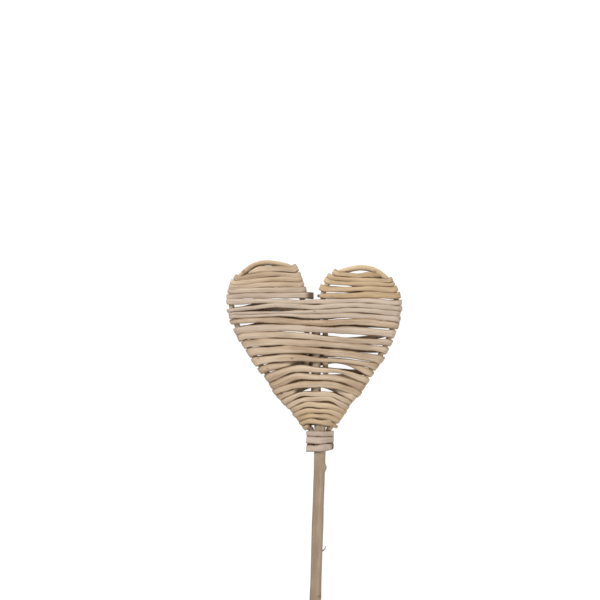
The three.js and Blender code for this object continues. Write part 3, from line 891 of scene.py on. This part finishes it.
def through(places, heights, x):
    """A smooth line through heights given at places, read at x."""
    order = np.argsort(places)
    places, heights = np.asarray(places, float)[order], np.asarray(heights, float)[order]
    slopes = np.gradient(heights, places)
    part = np.clip(np.searchsorted(places, x) - 1, 0, len(places) - 2)
    span = places[part + 1] - places[part]
    t = (x - places[part]) / span
    start, end = heights[part], heights[part + 1]
    return ((2 * t**3 - 3 * t**2 + 1) * start + (t**3 - 2 * t**2 + t) * span * slopes[part]
            + (3 * t**2 - 2 * t**3) * end + (t**3 - t**2) * span * slopes[part + 1])

# %% [markdown]
# ## Weaving
# A strip runs over the front, half a turn round a rod, back behind the heart and half a turn round the
# other rod. A Blender curve could hold such a path, but here each row's width, shade and lean change on
# the way as well. So the strip is wound as a list of samples that carry all of these.

# %% Levels of the woven faces
BACK_LEVEL = STRIP_THICKNESS / 2
WRAP_RADIUS = ROD_RADIUS + GAP + STRIP_THICKNESS / 2
FRONT_LEVEL = ROD_LEVEL + WRAP_RADIUS
UNDER_HALF = STICK_RADIUS + LEG_CLEARANCE + 2 * ROD_RADIUS
UNDER_RISE = 0.4  # a strip from under the stick is up at the front after this share of its way to the rod
DOME_CURVE = 1.6
LOBE_BOW = 0.4
print("woven faces at", round(BACK_LEVEL, 2), "and", round(FRONT_LEVEL, 2), "mm")

# %% How rows share their room
FULL_WIDTH = 3.5  # strips that thin out over the heart are this wide again round the rods
LEAST_ROOM = 1.4
MOST_CROWDED = 1.15  # how far a strip's width may pass the room that it has
CROWDING_STARTS = 0.8  # from this share of its room a strip leans on its neighbour
LEAST_BACK_HALF = 1.3  # half the width of the narrowest strip behind the heart
PASS_SPACING = 0.7
FEWEST_STEPS = 8
WRAP_STEPS = 11
TAIL_SAMPLES = 12
BULGE = 0.6  # how far the loosest turns stand off their rod
BULGE_RANGE = (-0.25, 1)
LEAN_STARTS = 0.55  # from this share of the way out to the rod a row turns to lean with it
BACK_LEAN = 0.22  # and on the back it stops after this share of its way
USUAL_BEHIND = (0.5, 0.5, 0.5)


def pass_steps(start, end):
    """The places of the samples on one way across the heart."""
    return np.linspace(start, end, max(round(abs(end - start) / PASS_SPACING), FEWEST_STEPS) + 1)

# %% One strip on its way
class Weave:
    """One strip wound round two rods, kept as a growing list of samples along it."""

    def __init__(self, rows, near, far, middle_x, seed, first, last):
        """near and far are crossings() of the two rods, first and last are where the strip's cuts lie."""
        rows = np.array(rows, float)
        self.chance = np.random.default_rng(seed)
        self.samples = []
        self.middle_x = middle_x
        self.heights = rows[:, :5] * UP
        self.widths = rows[:, [5, 5, 6, 7, 7]]
        self.widths[:, [0, 4]] = np.maximum(self.widths[:, [0, 4]], FULL_WIDTH)
        self.shades, self.tints = rows[:, 8], rows[:, 9]
        self.ends = [[near(row[0]), far(row[4])] for row in self.heights]
        if first is not None:
            self.ends[0][0] = (first[0], 0.0)
            self.heights[0, 0] = first[1]
        self.ends[-1][1] = (last[0], 0.0)
        self.heights[-1, 4] = last[1]
        self.direction = np.sign(self.ends[0][1][0] - self.ends[0][0][0])

    def make_room(self, above, below, under):
        """How wide each row can be between its neighbours, and how much it leans on them. An under row
        lies deeper between the rods, so there it takes no room from the rows above and below it."""
        heights, widths = self.heights, self.widths
        stack = np.vstack([np.full(5, above * UP), heights, np.full(5, below * UP)])
        rooms = np.minimum(stack[:-2] - stack[1:-1], stack[1:-1] - stack[2:])
        for row in under:
            rooms[row - 1, 1:4] = heights[row - 2, 1:4] - heights[row - 1, 1:4]
            rooms[row + 1, 1:4] = heights[row + 1, 1:4] - heights[row + 2, 1:4]
            rooms[row, 1:4] = widths[row, 1:4]
        rooms = np.maximum(rooms, LEAST_ROOM)
        self.halves = np.minimum(widths, rooms * MOST_CROWDED) / 2
        self.crowds = np.clip(widths / rooms - CROWDING_STARTS, 0, 1)

    def places(self, row):
        """Where the row's five heights belong, from its near rod to its far one."""
        start, end = self.ends[row][0][0], self.ends[row][1][0]
        middle = self.middle_x(start, end, self.heights[row, 2])
        return np.array([start, (start + middle) / 2, middle, (middle + end) / 2, end])

    def add(self, x, y, z, half, slant, shade, tint, crowd):
        """Samples with their places, half width, slant, shade, tint and crowding."""
        columns = np.broadcast_arrays(x, y, z, half, slant, shade, tint, crowd)
        self.samples.append(np.stack([np.atleast_1d(column).astype(float) for column in columns], 1))

    def wrap(self, row, far, crowd):
        """Half a turn, round the far rod to the back or round the near rod to the front."""
        place, turn = (4, 1) if far else (0, -1)
        x, slant = self.ends[row][int(far)]
        y = self.heights[row, place]
        share = np.arange(1, WRAP_STEPS) / WRAP_STEPS
        angle = turn * math.pi * (0.5 - share)
        stand_off = WRAP_RADIUS + self.chance.uniform(*BULGE_RANGE) * BULGE
        normal = np.array([1.0, -slant]) * self.direction * turn * stand_off / math.hypot(1, slant)
        self.add(
            x + normal[0] * np.cos(angle), y + normal[1] * np.cos(angle),
            ROD_LEVEL + WRAP_RADIUS * np.sin(angle), self.halves[row, place], slant,
            self.shades[row], self.tints[row], crowd[0] + (crowd[1] - crowd[0]) * share,
        )

    def start_behind(self, length):
        """The strip's first end, tucked in behind the heart, and its first half turn."""
        x, slant = self.ends[0][0]
        share = np.linspace(1, 0, TAIL_SAMPLES)
        self.add(x + self.direction * share * length, self.heights[0, 0], BACK_LEVEL, self.halves[0, 0],
                 slant * (1 - share), self.shades[0], self.tints[0], 0)
        self.wrap(0, False, (0, 0))

    def front(self, row, middle_level, under, tucked, short):
        """Over the front, from the near rod to the far one."""
        places = self.places(row)
        x = pass_steps(places[0], places[-1])
        starts = (x - places[2]) * self.direction < 0
        away = np.abs(x - places[2])
        reach = np.where(starts, abs(places[0] - places[2]), abs(places[-1] - places[2]))
        share = np.clip(away / reach, 0, 1)
        level = middle_level(self.heights[row, 2])
        z = level + (FRONT_LEVEL - level) * share**DOME_CURVE
        if row in under:
            risen = smooth_ramp((away - UNDER_HALF) / (reach - UNDER_HALF), 0, UNDER_RISE)
            z = BACK_LEVEL + (FRONT_LEVEL - BACK_LEVEL) * risen
        if row in tucked:
            z = np.where(starts, z + (ROD_LEVEL - z) * smooth_ramp(share, 0.5, 1), z)
        if row in short:
            z = np.full_like(x, FRONT_LEVEL)
        slant = np.where(starts, self.ends[row][0][1], self.ends[row][1][1])
        self.add(
            x, through(places, self.heights[row], x), z, through(places, self.halves[row], x),
            slant * smooth_ramp(share, LEAN_STARTS, 1), self.shades[row], self.tints[row],
            np.clip(through(places, self.crowds[row], x), 0, 1),
        )

    def back(self, row, behind):
        """Round the far rod, back behind the heart and round the near rod, where the next row starts."""
        following = row + 1
        far_share, middle_share, near_share = behind
        shares = np.array([1, near_share, middle_share, far_share, 0])
        heights = self.heights[following] * shares + self.heights[row] * (1 - shares)
        heights[0], heights[4] = self.heights[following, 0], self.heights[row, 4]
        places = self.places(row)
        places[0] = self.ends[following][0][0]
        places[1] = (places[0] + places[2]) / 2
        self.wrap(row, True, (self.crowds[row, 4], 0))
        x = pass_steps(places[-1], places[0])
        t = np.linspace(0, 1, len(x))
        back_half = max(min(self.widths[row, 2], self.widths[following, 2]) / 2, LEAST_BACK_HALF)
        half = self.halves[row, 4] * (1 - t) + self.halves[following, 0] * t
        half = half + (back_half - half) * np.sin(math.pi * t) ** 0.6
        slant = (self.ends[row][1][1] * smooth_ramp(t, BACK_LEAN, 0)
                 + self.ends[following][0][1] * smooth_ramp(t, 1 - BACK_LEAN, 1))
        shade = self.shades[row] * (1 - t) + self.shades[following] * t
        tint = self.tints[row] * (1 - t) + self.tints[following] * t
        self.add(x, through(places, heights, x), BACK_LEVEL, half, slant, shade, tint, 0)
        self.wrap(following, False, (0, self.crowds[following, 0]))

# %% Weave one strip
def weave_strip(rows, near, far, middle_x, middle_level, behind, seed, above, below, last,
                first=None, under=(), tucked=(), short=(), tail=0.0):
    """Winds one strip and returns its samples and whether it starts to the right (1) or to the left (-1).
    above and below are the heights that its rows keep within. under, tucked and short are the rows that
    pass behind the stick, start beside their rod or end before the next one."""
    weave = Weave(rows, near, far, middle_x, seed, first, last)
    weave.make_room(above, below, under)
    if tail:
        weave.start_behind(tail)
    for row in range(len(rows)):
        weave.front(row, middle_level, under, tucked, short)
        if row < len(rows) - 1:
            weave.back(row, behind.get(row, USUAL_BEHIND))
    return np.vstack(weave.samples), weave.direction

# %% [markdown]
# ## The split strip
# A strip of split vine is flat on the inside, where the cane was split, and round on the outside. It
# rolls a little as it is laid, its edges are not quite straight, and where rows crowd together each leans
# on the next one like a roof tile. The cut ends taper where they were pared with a knife. A bevel object
# would give every stretch the same outline, so the rings are built here too.

# %% The strip's outline
SECTION_TOP = 12
SECTION_BOTTOM = 8


def strip_section(flatness):
    """Points round a split strip in half widths and half thicknesses. A flatness of 0 is a full round."""
    top = math.pi * (np.arange(SECTION_TOP) + 0.5) / SECTION_TOP
    over = np.column_stack([np.cos(top), -0.15 + 1.15 * np.sin(top) ** (1 - flatness)])
    share = (np.arange(SECTION_BOTTOM) + 0.5) / SECTION_BOTTOM
    below = np.column_stack([-0.93 + 1.86 * share, np.full(SECTION_BOTTOM, -0.95)])
    below[:, 1] += 0.25 * np.abs(below[:, 0]) ** 4
    return np.vstack([over, below])


print("strip outline of", len(strip_section(0.0)), "points")

# %% How a strip wanders
# The distance between its turns in millimetres, and how far it goes in millimetres, degrees or shares
SIDEWAYS_DRIFT = (31, 0.17)
LEVEL_DRIFT = (23, 0.06)
WIDTH_DRIFT = (26, 0.09)
ROLL_DRIFT = (37, 4.5)
SPLIT_DRIFT = (19, 0.07)
SHADE_DRIFT = (60, 0.16)
SMOOTHINGS = 3
TAPER_LENGTH = 6.0


def strip_spine(samples, chance):
    """The strip's middle line without the samples' corners and with a slight drift, and how far along it
    each point is."""
    points = samples[:, :3].copy()
    for _ in range(SMOOTHINGS):
        points[1:-1] = 0.25 * points[:-2] + 0.5 * points[1:-1] + 0.25 * points[2:]
    along = distance_along(points)
    points[:, 1] += wander(along, *SIDEWAYS_DRIFT, chance)
    points[:, 2] += wander(along, *LEVEL_DRIFT, chance)
    return points, along


def strip_directions(points, slant, direction):
    """The directions across the strip and out of its round face."""
    ahead = np.gradient(points, axis=0)
    ahead /= np.linalg.norm(ahead, axis=1)[:, None]
    across = np.column_stack([slant, np.ones(len(points)), np.zeros(len(points))]) * direction
    out = np.cross(ahead, across)
    out /= np.linalg.norm(out, axis=1)[:, None]
    return across, out


def rolled(across, out, degrees):
    """The same two directions once the strip has rolled."""
    length = np.linalg.norm(across, axis=1)
    roll = np.radians(degrees)
    turn_across = across * np.cos(roll)[:, None] + out * (np.sin(roll) * length)[:, None]
    turn_out = out * np.cos(roll)[:, None] - across * (np.sin(roll) / length)[:, None]
    return turn_across, turn_out


def pared(along, ends):
    """The share of its width that the strip keeps. ends are the shares at its first and its last cut."""
    left = along[-1] - along
    return np.minimum(ends[0] + (1 - ends[0]) * np.clip(along / TAPER_LENGTH, 0, 1),
                      ends[1] + (1 - ends[1]) * np.clip(left / TAPER_LENGTH, 0, 1))

# %% [markdown]
# Drying pulls long creases into the round face. They are pressed into the mesh, where low light and the
# export see them, and the finest fibres are left to the material's bump.

# %% Creases and brown places
CREASES = 7
CREASES_WITHIN = 0.75  # in half widths from the strip's middle
CREASE_SPREAD = 0.13
CREASE_DRIFT = (90, 0.12)
CREASE_DEPTH = (55, 0.2)
START_BROWN = 0.5
START_BROWN_LENGTH = 1.2
LAST_BROWN = 0.95
MARK_BROWN = 0.9


def creased(u, v, along, chance):
    """How far the creases are pressed in at each point of the rings, in half thicknesses."""
    relief = np.zeros((len(along), len(u)))
    for _ in range(CREASES):
        crease = chance.uniform(-CREASES_WITHIN, CREASES_WITHIN) + wander(along, *CREASE_DRIFT, chance)
        deep = np.maximum(wander(along, *CREASE_DEPTH, chance), 0)
        relief -= deep[:, None] * np.exp(-(((u[None] - crease[:, None]) / CREASE_SPREAD) ** 2))
    return relief * smooth_ramp(v, -0.2, 0.5)[None]


def brown_places(rings, along, dark_end, marks):
    """How brown the strip is near its cuts and at its knots."""
    left = along[-1] - along
    browned = np.maximum(START_BROWN * smooth_ramp(along, START_BROWN_LENGTH, 0.0),
                         LAST_BROWN * smooth_ramp(left, dark_end, dark_end / 3))
    brown = np.tile(browned[:, None], (1, rings.shape[1]))
    for x, y, radius in marks:
        away = np.hypot(rings[..., 0] - x, rings[..., 1] - y)
        in_front = rings[..., 2] > ROD_LEVEL
        brown = np.maximum(brown, MARK_BROWN * smooth_ramp(away, radius, 0.4 * radius) * in_front)
    return brown

# %% The strip's mesh
SPLIT_THICKNESS = 1.15
CROWDED_ROLL = 15  # degrees that a strip leans where it is most crowded
# Painted shade: the strip's colour is darkened where a crease is pressed in.
PAINTED_CREASE_SHADE = 0.9


def strip_solid(name, samples, direction, finish, seed,
                ends=(0.8, 0.5), dark_end=1.6, marks=(), flatness=0.38):
    """The strip's mesh along its samples. ends are the shares of its width at its first and last cut,
    dark_end is how far the last one has browned, and marks are knots as x, y and radius in millimetres."""
    chance = np.random.default_rng(seed)
    half, slant, shade, tint, crowd = samples[:, 3:].T
    points, along = strip_spine(samples, chance)
    across, out = strip_directions(points, slant, direction)
    kept = pared(along, ends)
    width = half * kept * (1 + wander(along, *WIDTH_DRIFT, chance))
    roll = wander(along, *ROLL_DRIFT, chance) + CROWDED_ROLL * crowd * direction
    across, out = rolled(across, out, roll)
    thick = SPLIT_THICKNESS / 2 * (1 + wander(along, *SPLIT_DRIFT, chance)) * (0.75 + 0.25 * kept)
    u, v = strip_section(flatness).T
    relief = creased(u, v, along, chance)
    rings = (points[:, None] + (u[None] * width[:, None])[..., None] * across[:, None]
             + ((v[None] + relief) * thick[:, None])[..., None] * out[:, None])
    vine = np.stack([
        np.broadcast_to(along[:, None], relief.shape), u[None] * width[:, None], v[None] * thick[:, None],
    ], -1) + chance.uniform(0, NOISE_PLACES, 3)
    # How near the edge each point is, with the flat split face counted as edge. The finish paints inner
    # wood's brown and painted shade there.
    edge = np.where(v > -0.5, np.abs(u), 0.9)
    # The shade value is darker in the creases, as painted shade.
    look = np.stack([
        (shade + wander(along, *SHADE_DRIFT, chance))[:, None] - PAINTED_CREASE_SHADE * relief,
        np.broadcast_to(tint[:, None], relief.shape),
        np.broadcast_to(edge[None], relief.shape),
    ], -1)
    return ring_solid(name, rings, vine, look, brown_places(rings, along, dark_end, marks), finish)

# %% [markdown]
# ## Left lobe
# The left lobe's strip starts tucked in beside the rod, goes over the lobe six times and ends with a dark
# cut that sticks out into the notch between the lobes.

# %% Wind the left lobe
def halfway(start, end, _):
    """The middle of a lobe's row."""
    return (start + end) / 2


def lobe_level(_):
    """How high a lobe's rows bow up in the middle."""
    return FRONT_LEVEL + LOBE_BOW


samples, direction = weave_strip(
    LEFT_LOBE_ROWS, crossings(left_line, False), crossings(left_line, True), halfway, lobe_level,
    LEFT_LOBE_BEHIND, 31, ABOVE_LOBES, BODY_ROWS[0][2], LEFT_LOBE_END, first=LEFT_LOBE_START, tucked={0},
)
left_lobe_strip = strip_solid("left_lobe_strip", samples, direction, strip_finish, 32, (0.5, 1.0), 5.5)
stands_for(left_lobe_strip, "left_lobe_weaver")

# %% [markdown]
# ## Right lobe
# The right lobe's strip is a warmer, yellower cane. It runs the other way, five times over, and ends in a
# pared point beside the dark end of the left one.

# %% Wind the right lobe
samples, direction = weave_strip(
    RIGHT_LOBE_ROWS, crossings(right_line, False), crossings(right_line, True), halfway, lobe_level,
    RIGHT_LOBE_BEHIND, 33, ABOVE_LOBES, BODY_ROWS[0][2], RIGHT_LOBE_END, first=RIGHT_LOBE_START, tucked={0},
)
right_lobe_strip = strip_solid("right_lobe_strip", samples, direction, strip_finish, 34, (0.8, 0.4))
stands_for(right_lobe_strip, "right_lobe_weaver")

# %% [markdown]
# ## Body
# The body's strip crosses the whole heart and over the stick. Two of its rows pass under the stick
# instead, as a weaver does to lock them. The last row is a short end that stops beside the stick.

# %% Wind the body
BODY_KNOTS = [  # x, y and radius in millimetres
    (-19.7, 20.9, 1.0), (-13.7, 40.9, 0.7), (-27.7, 35.1, 0.7), (-33.1, 41.0, 0.6), (8.6, 38.5, 0.5),
]


def beside_stick(_, __, y):
    """The middle of a body's row, at the stick."""
    return float(stick_x(y))


def over_stick(y):
    """How high a row lies where it goes over the stick."""
    return STICK_REST + 2 * float(stick_radius(y)) + GAP + STRIP_THICKNESS / 2


samples, direction = weave_strip(
    BODY_ROWS, crossings(left_line, False), crossings(right_line, False), beside_stick, over_stick,
    BODY_BEHIND, 35, LEFT_LOBE_ROWS[-1][2], BELOW_BODY, BODY_END,
    under=UNDER_ROWS, short={len(BODY_ROWS) - 1}, tail=BODY_TAIL_START,
)
body_strip = strip_solid("body_strip", samples, direction, strip_finish, 36, marks=BODY_KNOTS)
stands_for(body_strip, "body_weaver")

# %% [markdown]
# ## Binding
# A pinkish strip goes two and a half times round rods and stick at the neck. The last turn is pulled down
# at the left, so it lies askew, and its end is cut off dark at the lower right.

# %% Round the neck's bundle
# The height of the strip's middle and its width each time it passes the left side or the right side
BINDING_SIDES = [(-2.1, 3.1), (-2.1, 3.1), (-5.9, 4.2), (-5.4, 3.8), (-10.9, 4.0), (-9.3, 4.3)]
BINDING_START = 230  # degrees, counted from the right side over the front
BINDING_END = -705
BINDING_STEPS = 60  # to a turn
BINDING_TINT = -0.8
BINDING_SHADES = [0.2, -0.2]  # at its end and at its start


def bundle_place(angle):
    """The outside of the neck's bundle in one direction, seen along the stick."""
    direction = np.array([math.cos(angle), math.sin(angle)])
    offset = STICK_RADIUS + GAP + ROD_RADIUS
    members = [((0, STICK_REST + STICK_RADIUS), STICK_RADIUS), ((-offset, ROD_LEVEL), ROD_RADIUS),
               ((offset, ROD_LEVEL), ROD_RADIUS)]
    centre, radius = max(members, key=lambda member: np.dot(member[0], direction) + member[1])
    return np.array(centre) + direction * (radius + GAP + STRIP_THICKNESS / 2)

# %% Bind the neck
binding_samples = round((BINDING_START - BINDING_END) / 360 * BINDING_STEPS) + 1
degrees = np.linspace(BINDING_START, BINDING_END, binding_samples)
half_turns = np.clip((180 - degrees) / 180, 0, len(BINDING_SIDES) - 1.001)
before = half_turns.astype(int)
share = half_turns - before
sides_table = np.array(BINDING_SIDES)
bound = sides_table[before] * (1 - share[:, None]) + sides_table[before + 1] * share[:, None]
ring = np.array([bundle_place(math.radians(angle)) for angle in degrees])
straight = np.zeros(len(ring))
shades = np.interp(degrees, [BINDING_END, BINDING_START], BINDING_SHADES)
samples = np.column_stack([
    STICK_NECK_X + ring[:, 0], bound[:, 0], ring[:, 1], bound[:, 1] / 2,
    straight, shades, straight + BINDING_TINT, straight,
])
neck_binding_strip = strip_solid(
    "neck_binding_strip", samples, 1, binding_finish, 41, (0.8, 0.7), 2.5, flatness=0.6,
)
stands_for(neck_binding_strip, "neck_binding")
